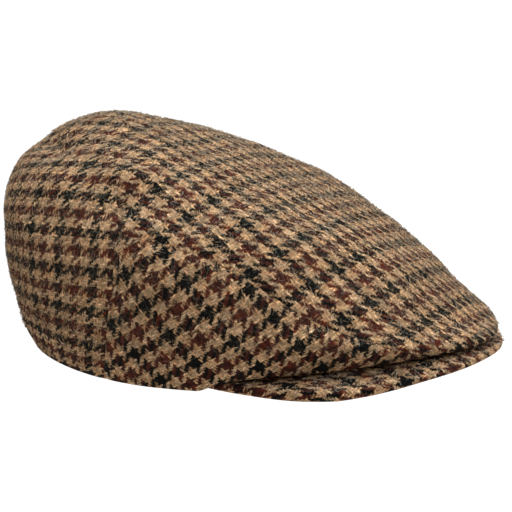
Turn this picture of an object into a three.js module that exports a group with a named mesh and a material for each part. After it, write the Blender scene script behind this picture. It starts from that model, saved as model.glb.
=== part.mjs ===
// Flat cap of woven wool tweed: a domed top panel that runs from the peak over the crown and down the
// back, a rounded triangular panel on each side, and a stiff arched peak under the front of the crown.
// Millimetres, +Z up, peak towards -Y, wearer's right towards -X. The cap stands on its rim at z = 0.
import * as THREE from 'three';

// Cloth
const clothThickness = 2.5;
const seamGap = 0.35;
const sideSeamGap = 1.3 * seamGap;
const restGap = 0.3;

// Crown: widest at a line that climbs from the nose to the back
const crownHalfWidth = 103;
const earAxisY = 14.8;
const noseLineHeight = 16;
const backLineHeight = 55.3;

// Arches through the ear axis: angle from the front of the widest line over the top to its back,
// reach from the axis to the centre line, squareness of the arch (2 is an ellipse)
const arches = [
  { angle: -7, reach: 122.2, squareness: 1.83 },
  { angle: -3, reach: 133.5, squareness: 1.83 },
  { angle: 0, reach: 145.4, squareness: 1.83 },
  { angle: 3, reach: 133.5, squareness: 1.85 },
  { angle: 7, reach: 122.2, squareness: 1.88 },
  { angle: 25, reach: 88.8, squareness: 2.16 },
  { angle: 50, reach: 66.6, squareness: 2.36 },
  { angle: 75, reach: 59.5, squareness: 2.48 },
  { angle: 100, reach: 64, squareness: 2.44 },
  { angle: 120, reach: 79.2, squareness: 2.05 },
  { angle: 137, reach: 100.5, squareness: 1.75 },
  { angle: 152, reach: 117.6, squareness: 1.75 },
  { angle: 166, reach: 124.8, squareness: 1.8 },
  { angle: 180, reach: 118, squareness: 1.83 },
  { angle: 194, reach: 124.8, squareness: 1.83 },
];

// Below the widest line the cloth draws in towards the rim
const rimDrawSide = 9;
const rimDrawBack = 14.2;
const rimDrawNose = 3;
const rimDrawPower = 1.85;
const rimDrawLimit = 1.2;
const rimLevelHeight = 8;

// Height of the rim: on the ground behind, lifted over the peak in front
const rimHeights = [
  { y: -134, z: 13.7 },
  { y: -105, z: 13.2 },
  { y: -90, z: 12.4 },
  { y: -67, z: 10.2 },
  { y: -36, z: 7 },
  { y: -20, z: 4.6 },
  { y: -8, z: 0 },
  { y: 10, z: 0 },
];

// Seam between top and side panel in side view, from the tip on the peak to the corner behind the ear
const topSeam = [
  { y: -105, z: 13.2 },
  { y: -98, z: 19 },
  { y: -83, z: 25.8 },
  { y: -63, z: 33.8 },
  { y: -43, z: 46.6 },
  { y: -21, z: 60 },
  { y: 0, z: 67.4 },
  { y: 18, z: 70.8 },
  { y: 30, z: 71 },
];

// Seam behind the ear, from that corner down to the rim
const rearSeam = [
  { y: 30, z: 71 },
  { y: 29.6, z: 51 },
  { y: 32, z: 34 },
  { y: 36.2, z: 13 },
  { y: 40, z: 0 },
];

// Row of the top panel at that corner: its share of the centre line, and how the rows in front of it
// crowd towards the nose
const cornerShare = 0.54;
const noseRows = [
  { row: 0, share: 0 },
  { row: 0.25, share: 0.13 },
  { row: 1, share: 1 },
];

// Front tip of the side panel: where its blunt end lies on the top seam and how far behind it on the rim
const tipShare = 0.985;
const tipSetBack = 1.2;
const tipLeastShare = 0.4;

// Folds and hollows of the cloth: a line from one point to another on one side of the crown (the other
// side mirrors it), how far it stands out and how wide it is
const folds = [
  { from: [68, 50, 93], to: [68, 36, 96], height: 1, width: 8 },
  { from: [68, 36, 96], to: [68, 24, 94], height: 1.2, width: 8 },
  { from: [68, 24, 94], to: [63, 10, 92], height: 0.7, width: 9 },
  { from: [82, 22, 84], to: [84, 2, 79], height: -1.8, width: 12 },
  { from: [92, 31, 70], to: [77, 34, 86], height: -1.2, width: 4 },
  { from: [24, 102, 105], to: [40, 90, 103], height: -5.5, width: 11 },
];

// Peak: plan angle from the front, reach of its outer and inner edge from the point behind its centre,
// and thickness at the outer edge
const peakCentreY = -8.6;
const peakFrontRise = 8.4;
const peakFlatHalfWidth = 84;
const peakInnerThickness = 5;
const peakCreaseRoom = 2;
const peakPlan = [
  { angle: -12, edge: 120.4, inner: 78.8, thickness: 4.9 },
  { angle: 0, edge: 123, inner: 78.5, thickness: 4.8 },
  { angle: 12, edge: 120.4, inner: 78.8, thickness: 4.9 },
  { angle: 30, edge: 113.2, inner: 80, thickness: 5.6 },
  { angle: 45, edge: 109.4, inner: 81, thickness: 6.1 },
  { angle: 60, edge: 105.2, inner: 82, thickness: 6.3 },
  { angle: 75, edge: 93.8, inner: 81.5, thickness: 5.4 },
  { angle: 90, edge: 84.3, inner: 76, thickness: 2.2 },
];

// Section of the peak: shares from its inner edge to the crease for its top and its hollow, and turns in
// degrees round its outer edge
const peakTopShares = [0, 0.35, 0.7, 1];
const peakEdgeTurns = [90, 54, 18, -18, -54, -90];
const peakHollowShares = [0.65, 0.3, 0];

// Number of steps on each piece
const topRowsFront = 35;
const topRowsBack = 25;
const topColumns = 28;
const sideRows = 10;
const peakSteps = 44;

// Steps of the centre line: down the nose, over the top in degrees (finer near the nose), down the back
const noseSteps = 6;
const noseAngles = 12;
const noseAngleStep = 0.5;
const topAngleStep = 1.5;
const backSteps = 24;

// Step for slopes, and the range that holds the rim in the peak's plan
const slopeStep = 0.3;
const rimSearch = { near: 30, far: 160, halvings: 40 };

// Colours: the light brown that the checks average to
const tweed = { color: 0x7d5f43, roughness: 0.95, metalness: 0 };

// Smooth curve through the rows of a table that never overshoots between two rows
function curveThrough(rows, place, value) {
  const x = rows.map((row) => row[place]);
  const y = rows.map((row) => row[value]);
  const last = x.length - 1;
  const slope = [];
  for (let i = 0; i < last; i += 1) slope.push((y[i + 1] - y[i]) / (x[i + 1] - x[i]));
  const tangent = [slope[0]];
  for (let i = 1; i < last; i += 1) {
    const before = slope[i - 1];
    const after = slope[i];
    if (before * after <= 0) {
      tangent.push(0);
    } else {
      const a = 2 * (x[i + 1] - x[i]) + (x[i] - x[i - 1]);
      const b = (x[i + 1] - x[i]) + 2 * (x[i] - x[i - 1]);
      tangent.push((a + b) / (a / before + b / after));
    }
  }
  tangent.push(slope[last - 1]);
  return (at) => {
    const v = Math.min(Math.max(at, x[0]), x[last]);
    let i = 0;
    while (i < last - 1 && v > x[i + 1]) i += 1;
    const h = x[i + 1] - x[i];
    const t = (v - x[i]) / h;
    return y[i] * (1 + 2 * t) * (1 - t) ** 2 + tangent[i] * h * t * (1 - t) ** 2
      + y[i + 1] * t * t * (3 - 2 * t) + tangent[i + 1] * h * t * t * (t - 1);
  };
}

const reachAt = curveThrough(arches, 'angle', 'reach');
const squarenessAt = curveThrough(arches, 'angle', 'squareness');
const rimHeightAt = curveThrough(rimHeights, 'y', 'z');
const peakEdgeAt = curveThrough(peakPlan, 'angle', 'edge');
const peakInnerAt = curveThrough(peakPlan, 'angle', 'inner');
const peakThicknessAt = curveThrough(peakPlan, 'angle', 'thickness');

const frontReach = reachAt(0);
const backReach = reachAt(180);
const tilt = Math.atan2(backLineHeight - noseLineHeight, frontReach + backReach);
const axisZ = noseLineHeight + Math.sin(tilt) * frontReach;

// At a point of the side view: half width of the section there, share of its reach and squareness
function sectionAt(y, z) {
  const u = (y - earAxisY) / Math.cos(tilt);
  const lineZ = axisZ + u * Math.sin(tilt);
  if (z >= lineZ) {
    const along = (y - earAxisY) * Math.cos(tilt) + (z - axisZ) * Math.sin(tilt);
    const above = (z - axisZ) * Math.cos(tilt) - (y - earAxisY) * Math.sin(tilt);
    const angle = THREE.MathUtils.radToDeg(Math.atan2(above, -along));
    return { half: crownHalfWidth, share: Math.hypot(along, above) / reachAt(angle), n: squarenessAt(angle) };
  }
  const depth = Math.min((lineZ - z) / (lineZ - rimHeightAt(y)), rimDrawLimit);
  const draw = depth ** rimDrawPower;
  const reach = u < 0 ? frontReach - rimDrawNose * draw : backReach - rimDrawBack * draw;
  const n = squarenessAt(u < 0 ? 0 : 180);
  return { half: crownHalfWidth - rimDrawSide * draw, share: Math.abs(u) / reach, n };
}

// The crown is where this is 1
function crownLevel(x, y, z) {
  const s = sectionAt(y, z);
  return (Math.abs(x) / s.half) ** s.n + s.share ** s.n;
}

function crownHalfWidthAt(y, z) {
  const s = sectionAt(y, z);
  return s.half * Math.max(1 - s.share ** s.n, 0) ** (1 / s.n);
}

function crownNormal(p) {
  const h = slopeStep;
  const n = new THREE.Vector3(
    crownLevel(p.x + h, p.y, p.z) - crownLevel(p.x - h, p.y, p.z),
    crownLevel(p.x, p.y + h, p.z) - crownLevel(p.x, p.y - h, p.z),
    crownLevel(p.x, p.y, p.z + h) - crownLevel(p.x, p.y, p.z - h),
  );
  return n.normalize();
}

// How far the folds lift the cloth at a point
function foldLift(p) {
  let lift = 0;
  for (const fold of folds) {
    const line = new THREE.Line3(new THREE.Vector3(...fold.from), new THREE.Vector3(...fold.to));
    const here = new THREE.Vector3(Math.abs(p.x), p.y, p.z);
    const gap = line.closestPointToPoint(here, true, new THREE.Vector3()).distanceTo(here);
    lift += fold.height * Math.exp(-((gap / fold.width) ** 2));
  }
  return lift;
}

// Outer and inner point of the cloth above a place in side view, on one side of the crown. Towards the
// rim the thickness turns level, so that the cloth lies flat on the ground or on the peak.
function clothAt(side, y, z, onRim) {
  const outer = new THREE.Vector3(side * crownHalfWidthAt(y, z), y, z);
  const normal = crownNormal(outer);
  outer.addScaledVector(normal, foldLift(outer));
  normal.z *= THREE.MathUtils.smoothstep(z - rimHeightAt(y), 0, rimLevelHeight);
  normal.normalize();
  const inner = outer.clone().addScaledVector(normal, -clothThickness);
  if (onRim) inner.z = rimHeightAt(inner.y);
  return { outer, inner };
}

// Side view points along a polyline at even steps of its length
function polyline(points) {
  const reached = [0];
  for (let i = 1; i < points.length; i += 1) {
    reached.push(reached[i - 1] + Math.hypot(points[i].y - points[i - 1].y, points[i].z - points[i - 1].z));
  }
  const rows = points.map((p, i) => ({ at: reached[i], y: p.y, z: p.z }));
  const y = curveThrough(rows, 'at', 'y');
  const z = curveThrough(rows, 'at', 'z');
  const length = reached[points.length - 1];
  return { length, at: (share) => ({ y: y(share * length), z: z(share * length) }) };
}

// Closed solid between an outer and an inner grid of the same size, walled all round its border
function sheetSolid(grid) {
  const rows = grid.length;
  const columns = grid[0].length;
  const position = [];
  for (const layer of ['outer', 'inner']) {
    for (const row of grid) for (const p of row) position.push(p[layer].x, p[layer].y, p[layer].z);
  }
  const index = [];
  const quad = (a, b, c, d) => index.push(a, b, c, a, c, d);
  const out = (i, j) => i * columns + j;
  const inn = (i, j) => rows * columns + i * columns + j;
  for (let i = 0; i + 1 < rows; i += 1) {
    for (let j = 0; j + 1 < columns; j += 1) {
      quad(out(i, j), out(i, j + 1), out(i + 1, j + 1), out(i + 1, j));
      quad(inn(i, j), inn(i + 1, j), inn(i + 1, j + 1), inn(i, j + 1));
    }
  }
  for (let j = 0; j + 1 < columns; j += 1) {
    quad(out(0, j + 1), out(0, j), inn(0, j), inn(0, j + 1));
    quad(out(rows - 1, j), out(rows - 1, j + 1), inn(rows - 1, j + 1), inn(rows - 1, j));
  }
  for (let i = 0; i + 1 < rows; i += 1) {
    quad(out(i, 0), out(i + 1, 0), inn(i + 1, 0), inn(i, 0));
    quad(out(i + 1, columns - 1), out(i, columns - 1), inn(i, columns - 1), inn(i + 1, columns - 1));
  }
  return facingOut(position, index);
}

// Geometry whose triangles all face outwards
function facingOut(position, index) {
  const corner = (k) => new THREE.Vector3().fromArray(position, 3 * index[k]);
  let volume = 0;
  for (let k = 0; k < index.length; k += 3) {
    volume += corner(k).dot(corner(k + 1).cross(corner(k + 2))) / 6;
  }
  const turned = volume < 0 ? [...index].reverse() : index;
  const geometry = new THREE.BufferGeometry();
  geometry.setAttribute('position', new THREE.Float32BufferAttribute(position, 3));
  geometry.setIndex(turned);
  geometry.computeVertexNormals();
  return geometry;
}

// Centre line of the crown in side view: up the nose from the peak, over the top, down the back
function centreLine() {
  const points = [];
  const skirt = (depth, reach, draw, sign) => {
    const u = sign * (reach - draw * depth ** rimDrawPower);
    const y = earAxisY + u * Math.cos(tilt);
    const lineZ = axisZ + u * Math.sin(tilt);
    points.push({ y, z: lineZ + (rimHeightAt(y) - lineZ) * depth });
  };
  for (let k = noseSteps; k > 0; k -= 1) skirt(k / noseSteps, frontReach, rimDrawNose, -1);
  for (let angle = 0; angle <= 180; angle += angle < noseAngles ? noseAngleStep : topAngleStep) {
    const a = THREE.MathUtils.degToRad(angle);
    const along = -reachAt(angle) * Math.cos(a);
    const above = reachAt(angle) * Math.sin(a);
    points.push({
      y: earAxisY + along * Math.cos(tilt) - above * Math.sin(tilt),
      z: axisZ + along * Math.sin(tilt) + above * Math.cos(tilt),
    });
  }
  for (let k = 1; k <= backSteps; k += 1) skirt(k / backSteps, backReach, rimDrawBack, 1);
  return polyline(points);
}

// Top panel: each row is a straight line in side view from the seam to the centre line, mirrored. The row
// that reaches the corner behind the ear crosses the crown near its highest point.
function topPanel() {
  const centre = centreLine();
  const front = polyline(topSeam);
  const back = polyline(rearSeam);
  const noseShare = curveThrough(noseRows, 'row', 'share');
  const grid = [];
  for (let i = 0; i <= topRowsFront + topRowsBack; i += 1) {
    const inFront = i <= topRowsFront;
    const f = i / topRowsFront;
    const b = (i - topRowsFront) / topRowsBack;
    const c = centre.at(inFront ? cornerShare * noseShare(f) : cornerShare + (1 - cornerShare) * b);
    const s = inFront ? front.at(f) : back.at(b);
    const onRim = i === 0 || i === topRowsFront + topRowsBack;
    const row = [];
    for (let j = 0; j <= topColumns; j += 1) {
      const across = (2 * j) / topColumns - 1;
      const t = across * across;
      row.push(clothAt(Math.sign(across), c.y + (s.y - c.y) * t, c.z + (s.z - c.z) * t, onRim));
    }
    grid.push(row);
  }
  return sheetSolid(grid);
}

// Side panel: columns from the seam behind the ear to the tip on the peak, each a straight line in side
// view from the rim up to the top seam, one for each row of the top panel. It keeps the seam's gap to it.
function sidePanel(side) {
  const upper = polyline([...topSeam].reverse());
  const rear = polyline([...rearSeam].reverse());
  const behind = rearSeam[rearSeam.length - 1].y;
  const tip = topSeam[0].y + tipSetBack;
  const grid = [];
  for (let i = 0; i <= topRowsFront; i += 1) {
    const u = i / topRowsFront;
    const top = upper.at(Math.min(u, tipShare));
    const lowY = behind + (tip - behind) * u;
    const low = { y: lowY, z: rimHeightAt(lowY) };
    const length = Math.hypot(top.y - low.y, top.z - low.z);
    const column = [];
    for (let j = 0; j <= sideRows; j += 1) {
      const v = (j / sideRows) * Math.max(1 - sideSeamGap / length, tipLeastShare);
      const line = i === 0 ? rear.at(v) : { y: low.y + (top.y - low.y) * v, z: low.z + (top.z - low.z) * v };
      const y = line.y - (i === 0 ? seamGap : 0);
      column.push(clothAt(side, y, line.z, j === 0));
    }
    grid.push(column);
  }
  return sheetSolid(grid);
}

// Where the rim of the crown crosses a ray of the peak's plan
function rimReach(angle) {
  let { near, far } = rimSearch;
  for (let k = 0; k < rimSearch.halvings; k += 1) {
    const mid = (near + far) / 2;
    const x = mid * Math.sin(angle);
    const y = peakCentreY - mid * Math.cos(angle);
    if (crownLevel(x, y, rimHeightAt(y)) < 1) near = mid;
    else far = mid;
  }
  return near;
}

// Peak: a section along each ray of its plan. Under the crown its top follows the rim, outside it rolls
// over a rounded edge, and its underside is hollowed with it.
function peak() {
  const position = [];
  const loops = [];
  for (let i = 0; i <= peakSteps; i += 1) {
    const degrees = 90 - (180 * i) / peakSteps;
    const angle = THREE.MathUtils.degToRad(degrees);
    const edge = peakEdgeAt(Math.abs(degrees));
    const thick = peakThicknessAt(Math.abs(degrees));
    const crease = Math.min(rimReach(angle), edge - thick / 2 - peakCreaseRoom);
    const inner = peakInnerAt(Math.abs(degrees));
    const low = peakFrontRise * Math.max(1 - ((edge * Math.sin(angle)) / peakFlatHalfWidth) ** 2, 0);
    const point = (reach, z) => ({ reach, z });
    const topAt = (reach) => {
      const rim = rimHeightAt(peakCentreY - Math.min(reach, crease) * Math.cos(angle)) - restGap;
      const under = Math.max(rim, low + thick);
      const fall = Math.max((reach - crease) / (edge - thick / 2 - crease), 0);
      return under + (low + thick - under) * fall;
    };
    const section = [];
    for (const share of peakTopShares) {
      const reach = inner + (crease - inner) * share;
      section.push(point(reach, topAt(reach)));
    }
    section.push(point((crease + edge - thick / 2) / 2, topAt((crease + edge - thick / 2) / 2)));
    for (const turn of peakEdgeTurns) {
      const a = THREE.MathUtils.degToRad(turn);
      section.push(point(edge - (thick / 2) * (1 - Math.cos(a)), low + (thick / 2) * (1 + Math.sin(a))));
    }
    for (const share of peakHollowShares) {
      const reach = inner + (crease - inner) * share;
      section.push(point(reach, Math.max(topAt(reach) - peakInnerThickness, 0)));
    }
    loops.push(section.map((p) => {
      position.push(p.reach * Math.sin(angle), peakCentreY - p.reach * Math.cos(angle), p.z);
      return position.length / 3 - 1;
    }));
  }
  const index = [];
  const sides = loops[0].length;
  for (let i = 0; i < peakSteps; i += 1) {
    for (let j = 0; j < sides; j += 1) {
      const k = (j + 1) % sides;
      index.push(loops[i][j], loops[i][k], loops[i + 1][k], loops[i][j], loops[i + 1][k], loops[i + 1][j]);
    }
  }
  for (const [loop, against] of [[loops[0], true], [loops[peakSteps], false]]) {
    const outline = loop.map((k) => new THREE.Vector2(Math.abs(position[3 * k]), position[3 * k + 2]));
    const area = THREE.ShapeUtils.area(outline);
    for (const [a, b, c] of THREE.ShapeUtils.triangulateShape(outline, [])) {
      const turns = THREE.ShapeUtils.area([outline[a], outline[b], outline[c]]) * area;
      const flip = (turns > 0) === against;
      index.push(loop[a], flip ? loop[c] : loop[b], flip ? loop[b] : loop[c]);
    }
  }
  return facingOut(position, index);
}

function piece(name, geometry) {
  const mesh = new THREE.Mesh(geometry, new THREE.MeshStandardMaterial(tweed));
  mesh.name = name;
  return mesh;
}

const cap = new THREE.Group();
cap.add(piece('top_panel', topPanel()));
cap.add(piece('side_panel_right', sidePanel(-1)));
cap.add(piece('side_panel_left', sidePanel(1)));
cap.add(piece('peak', peak()));

export default cap;
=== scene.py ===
import math

import bpy
import numpy as np
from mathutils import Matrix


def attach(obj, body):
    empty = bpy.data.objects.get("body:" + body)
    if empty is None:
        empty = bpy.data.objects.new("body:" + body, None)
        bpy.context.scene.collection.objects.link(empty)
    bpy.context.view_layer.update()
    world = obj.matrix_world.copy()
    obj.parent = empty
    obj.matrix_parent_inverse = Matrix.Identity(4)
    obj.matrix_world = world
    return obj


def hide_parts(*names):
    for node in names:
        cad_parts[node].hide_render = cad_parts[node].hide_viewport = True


# Flat cap of checked wool tweed. Sizes are in millimetres and become metres as a mesh is made.
# The peak points to -Y, the wearer's right is at -X and the rim stands on z = 0.

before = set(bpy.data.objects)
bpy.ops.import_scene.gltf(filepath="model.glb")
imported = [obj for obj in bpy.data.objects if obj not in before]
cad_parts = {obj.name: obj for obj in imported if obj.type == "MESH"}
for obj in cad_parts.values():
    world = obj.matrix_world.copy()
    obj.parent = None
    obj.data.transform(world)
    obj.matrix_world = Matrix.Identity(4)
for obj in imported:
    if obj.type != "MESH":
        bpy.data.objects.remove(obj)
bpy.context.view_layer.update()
mm = 0.001
rng = np.random.default_rng(1908)

# the crown: widest along a line that climbs from the nose to the back
crown = {
    "cloth": 2.5,
    "halfWidth": 103,
    "earAxisY": 14.8,
    "noseLine": 16,
    "backLine": 55.3,
    # arches through the ear axis: angle from the nose over the top, reach to the centre line, squareness
    "arches": [
        (-7, 122.2, 1.83), (-3, 133.5, 1.83), (0, 145.4, 1.83), (3, 133.5, 1.85), (7, 122.2, 1.88),
        (25, 88.8, 2.16), (50, 66.6, 2.36), (75, 59.5, 2.48), (100, 64, 2.44), (120, 79.2, 2.05),
        (137, 100.5, 1.75), (152, 117.6, 1.75), (166, 124.8, 1.8), (180, 118, 1.83), (194, 124.8, 1.83),
    ],
    "drawSide": 9,      # how far the cloth draws in towards the rim
    "drawBack": 14.2,
    "drawNose": 3,
    "drawPower": 1.85,
    "drawLimit": 1.2,
    "rimLevel": 8,
    # height of the rim along y: on the ground behind, lifted over the peak in front
    "rim": [(-134, 13.7), (-105, 13.2), (-90, 12.4), (-67, 10.2), (-36, 7), (-20, 4.6), (-8, 0), (10, 0)],
    # folds on one side, mirrored on the other: from, to, height and width
    "folds": [
        ((68, 50, 93), (68, 36, 96), 1.1, 7),
        ((68, 36, 96), (68, 24, 94), 1.4, 7),
        ((68, 24, 94), (63, 10, 92), 0.9, 8),
        ((82, 22, 84), (84, 2, 79), -1.8, 12),
        ((92, 31, 70), (77, 34, 86), -1.2, 4),
        ((24, 102, 105), (40, 90, 103), -5.5, 11),
    ],
    "slopeStep": 0.3,   # step that the slope of the crown is measured with
    # slack of the cloth: waves as height and length, each in three directions
    "waves": [(0.34, 62), (0.2, 37), (0.1, 19)],
    "waveTurns": (0.4, 2.2, 4.4),
    "waveClimb": 3,
    "waveStart": 5,
}

# seams in side view (y, z): over the ear from the tip on the peak to the corner, then down behind it
seams = {
    "top": [
        (-105, 13.2), (-98, 19), (-83, 25.8), (-63, 33.8), (-43, 46.6), (-21, 60), (0, 67.4), (18, 70.8),
        (30, 71),
    ],
    "rear": [(30, 71), (29.6, 51), (32, 34), (36.2, 13), (40, 0)],
    "gap": 0.015,
    "sideGap": 0.015,
    "depth": 0.7,       # the cloth dips to the stitches
    "width": 2.0,
    "dartDepth": 0.6,
    "dartWidth": 1.6,
    "backDepth": 0.6,
    "backWidth": 1.6,
    "noseRoll": 4.5,    # rolled edge over the peak
    "hemRoll": 1.5,     # rolled edge on the ground
    "leastCloth": 0.3,  # cloth that is left where it dips most
}


def smoothStep(v, low, high):
    # 0 below low, 1 above high, and a cubic S between them
    t = np.clip((v - low) / (high - low), 0, 1)
    return t * t * (3 - 2 * t)


def curveThrough(x, y):
    # cubic through the points with harmonic mean slopes, flat at turning points, so it never overshoots
    x = np.asarray(x, float)
    y = np.asarray(y, float)
    step = np.diff(x)
    slope = np.diff(y) / step
    rises = slope[:-1] * slope[1:] > 0
    a = 2 * step[1:] + step[:-1]
    b = step[1:] + 2 * step[:-1]
    mean = (a + b) / (a / np.where(rises, slope[:-1], 1) + b / np.where(rises, slope[1:], 1))
    tangent = np.concatenate([slope[:1], np.where(rises, mean, 0), slope[-1:]])

    def at(v):
        v = np.clip(v, x[0], x[-1])
        i = np.clip(np.searchsorted(x, v, side="right") - 1, 0, len(step) - 1)
        h = step[i]
        t = (v - x[i]) / h
        ends = y[i] * (1 + 2 * t) * (1 - t) ** 2 + y[i + 1] * t * t * (3 - 2 * t)
        return ends + h * t * (1 - t) * (tangent[i] * (1 - t) - tangent[i + 1] * t)

    return at


def alongLine(points):
    # side view point at a share of a line's length
    points = np.asarray(points, float)
    reached = np.concatenate([[0], np.cumsum(np.hypot(*np.diff(points, axis=0).T))])
    y = curveThrough(reached / reached[-1], points[:, 0])
    z = curveThrough(reached / reached[-1], points[:, 1])
    return lambda share: np.stack([y(share), z(share)], -1)


archAngle, archReach, archSquare = np.array(crown["arches"], float).T
reachAt = curveThrough(archAngle, archReach)
squareAt = curveThrough(archAngle, archSquare)
rimHeight = curveThrough(*np.array(crown["rim"], float).T)
frontReach = float(reachAt(0))
backReach = float(reachAt(180))
tilt = math.atan2(crown["backLine"] - crown["noseLine"], frontReach + backReach)
axisZ = crown["noseLine"] + math.sin(tilt) * frontReach


def crownSection(y, z):
    # half width, share of the reach and squareness of the arch (above the widest line) or of the level
    # section (below it) that a side view point lies on
    ahead = y - crown["earAxisY"]
    u = ahead / math.cos(tilt)
    lineZ = axisZ + u * math.sin(tilt)
    along = ahead * math.cos(tilt) + (z - axisZ) * math.sin(tilt)
    above = (z - axisZ) * math.cos(tilt) - ahead * math.sin(tilt)
    angle = np.degrees(np.arctan2(above, -along))
    high = z >= lineZ
    depth = np.clip((lineZ - z) / (lineZ - rimHeight(y)), 0, crown["drawLimit"])
    draw = np.where(high, 0, depth) ** crown["drawPower"]
    reach = np.where(u < 0, frontReach - crown["drawNose"] * draw, backReach - crown["drawBack"] * draw)
    half = crown["halfWidth"] - crown["drawSide"] * draw
    share = np.where(high, np.hypot(along, above) / reachAt(angle), np.abs(u) / reach)
    square = squareAt(np.where(high, angle, np.where(u < 0, 0, 180)))
    return half, share, square


def crownHalf(y, z):
    # x of the crown above a side view point: half width x (1 - share^n)^(1/n)
    half, share, n = crownSection(y, z)
    return half * np.maximum(1 - share ** n, 0) ** (1 / n)


def crownLevel(x, y, z):
    # 1 on the crown, less inside it
    half, share, n = crownSection(y, z)
    return (np.abs(x) / half) ** n + share ** n


def crownNormal(p):
    # slope of the level in x, y and z by small steps, made one long
    def levelAt(q):
        return crownLevel(*np.moveaxis(q, -1, 0))

    step = crown["slopeStep"] * np.eye(3)
    n = np.stack([levelAt(p + s) - levelAt(p - s) for s in step], -1)
    return n / np.maximum(np.linalg.norm(n, axis=-1, keepdims=True), 1e-12)


def foldLift(p):
    # each fold adds height x exp(-(distance to its line / width)^2)
    here = np.concatenate([np.abs(p[..., :1]), p[..., 1:]], -1)
    lift = np.zeros(p.shape[:-1])
    for start, end, height, width in crown["folds"]:
        start = np.array(start, float)
        line = np.array(end, float) - start
        t = np.clip((here - start) @ line / (line @ line), 0, 1)
        gap = np.linalg.norm(here - start - t[..., None] * line, axis=-1)
        lift += height * np.exp(-((gap / width) ** 2))
    return lift


def slackLift(p):
    # sum of sine waves that cross the cap in fixed slanted directions; the climb and the start of each follow
    # from its turn
    lift = np.zeros(p.shape[:-1])
    for k, (height, length) in enumerate(crown["waves"]):
        for turn in crown["waveTurns"]:
            climb = math.sin(crown["waveClimb"] * turn + k)
            way = np.array([math.cos(turn + k), math.sin(turn + k), climb])
            lift += height * np.sin(2 * math.pi * (p @ way) / length + crown["waveStart"] * turn + k)
    return lift


def skinAt(side, y, z):
    # the crown's skin at a side view point, lifted along its normal by folds and slack, with the way out of the
    # cloth, which turns level towards the rim
    p = np.stack([side * crownHalf(y, z), y, z], -1)
    n = crownNormal(p)
    fromRim = smoothStep(z - rimHeight(y), 0, crown["rimLevel"])
    p = p + n * (foldLift(p) + slackLift(p) * fromRim)[..., None]
    level = n * np.stack([np.ones_like(fromRim), np.ones_like(fromRim), fromRim], -1)
    return p, level / np.linalg.norm(level, axis=-1, keepdims=True)


def rolled(distance, radius):
    # how far a quarter round edge has drawn in at a distance from the edge
    t = np.clip(1 - distance / radius, 0, 1)
    return radius * (1 - np.sqrt(1 - t * t))


def lengthAlong(p, axis):
    # length walked along a grid line up to each of its points
    step = np.linalg.norm(np.diff(p, axis=axis), axis=-1)
    pad = [(0, 0), (0, 0)]
    pad[axis] = (1, 0)
    return np.pad(np.cumsum(step, axis=axis), pad)


def layFlat(p, corner, start, rounds, grain=None):
    # flattens a grid of cloth with the least stretch: each triangle asks for its own shape turned by the
    # rotation that fits it best, and all of them together are solved by least squares, round after round;
    # grain then turns the threads of each triangle, and the same least squares lays them out once more
    weakest, strongest = 0.05, 5      # pull of an edge, so that slivers do no harm
    quad = corner.reshape(-1, 4)
    spot = p.reshape(-1, 4, 3)
    tri = np.concatenate([quad[:, [0, 1, 2]], quad[:, [0, 2, 3]]])
    xyz = np.concatenate([spot[:, [0, 1, 2]], spot[:, [0, 2, 3]]])
    e1 = xyz[:, 1] - xyz[:, 0]
    e2 = xyz[:, 2] - xyz[:, 0]
    x1 = np.maximum(np.linalg.norm(e1, axis=1), 1e-9)
    t1 = e1 / x1[:, None]
    x2 = (e2 * t1).sum(1)
    t2 = e2 - x2[:, None] * t1
    y2 = np.maximum(np.linalg.norm(t2, axis=1), 1e-9)
    t2 = t2 / y2[:, None]
    zero = np.zeros_like(x1)
    flat = np.stack([np.stack([zero, zero], 1), np.stack([x1, zero], 1), np.stack([x2, y2], 1)], 1)
    count = int(corner.max()) + 1
    matrix = np.zeros((count, count))
    edges = []
    for a, b, c in ((0, 1, 2), (1, 2, 0), (2, 0, 1)):
        va = flat[:, a] - flat[:, c]
        vb = flat[:, b] - flat[:, c]
        area = np.abs(va[:, 0] * vb[:, 1] - va[:, 1] * vb[:, 0])
        w = np.clip((va * vb).sum(1) / np.maximum(area, 1e-6), weakest, strongest)
        edges.append((tri[:, a], tri[:, b], flat[:, b] - flat[:, a], w))
        for i, j, sign in ((a, a, 1), (b, b, 1), (a, b, -1), (b, a, -1)):
            np.add.at(matrix, (tri[:, i], tri[:, j]), sign * w)
    inverse = np.linalg.inv(matrix + 1e-6 * np.eye(count))

    def solve(xx, xy, yx, yy):
        # best places for triangles whose edges are turned by the matrix (xx xy, yx yy)
        pull = np.zeros((count, 2))
        for tail, head, was, w in edges:
            wanted = (xx * was[:, 0] + xy * was[:, 1], yx * was[:, 0] + yy * was[:, 1])
            for k in (0, 1):
                force = w * wanted[k]
                pull[:, k] += np.bincount(head, force, count) - np.bincount(tail, force, count)
        return inverse @ pull

    uv = start
    for _ in range(rounds):
        dot = np.zeros(len(tri))
        cross = np.zeros(len(tri))
        for tail, head, was, w in edges:
            now = uv[head] - uv[tail]
            dot += w * (now * was).sum(1)
            cross += w * (was[:, 0] * now[:, 1] - was[:, 1] * now[:, 0])
        size = np.maximum(np.hypot(dot, cross), 1e-12)
        cos, sin = dot / size, cross / size
        uv = solve(cos, -sin, sin, cos)
    if grain is not None:
        along = cos[:, None] * t1 - sin[:, None] * t2
        across = sin[:, None] * t1 + cos[:, None] * t2
        a, b = grain(xyz.mean(1), np.cross(t1, t2), along, across)
        ax, ay = (a * t1).sum(1), (a * t2).sum(1)
        bx, by = (b * t1).sum(1), (b * t2).sum(1)
        size = ax * by - ay * bx
        uv = solve(by / size, -bx / size, -ay / size, ax / size)
    return uv[corner]


def cornersOf(grid):
    # the four corners of every cell of a grid, in turn
    return np.stack([grid[:-1, :-1], grid[:-1, 1:], grid[1:, 1:], grid[1:, :-1]], 2)


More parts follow.
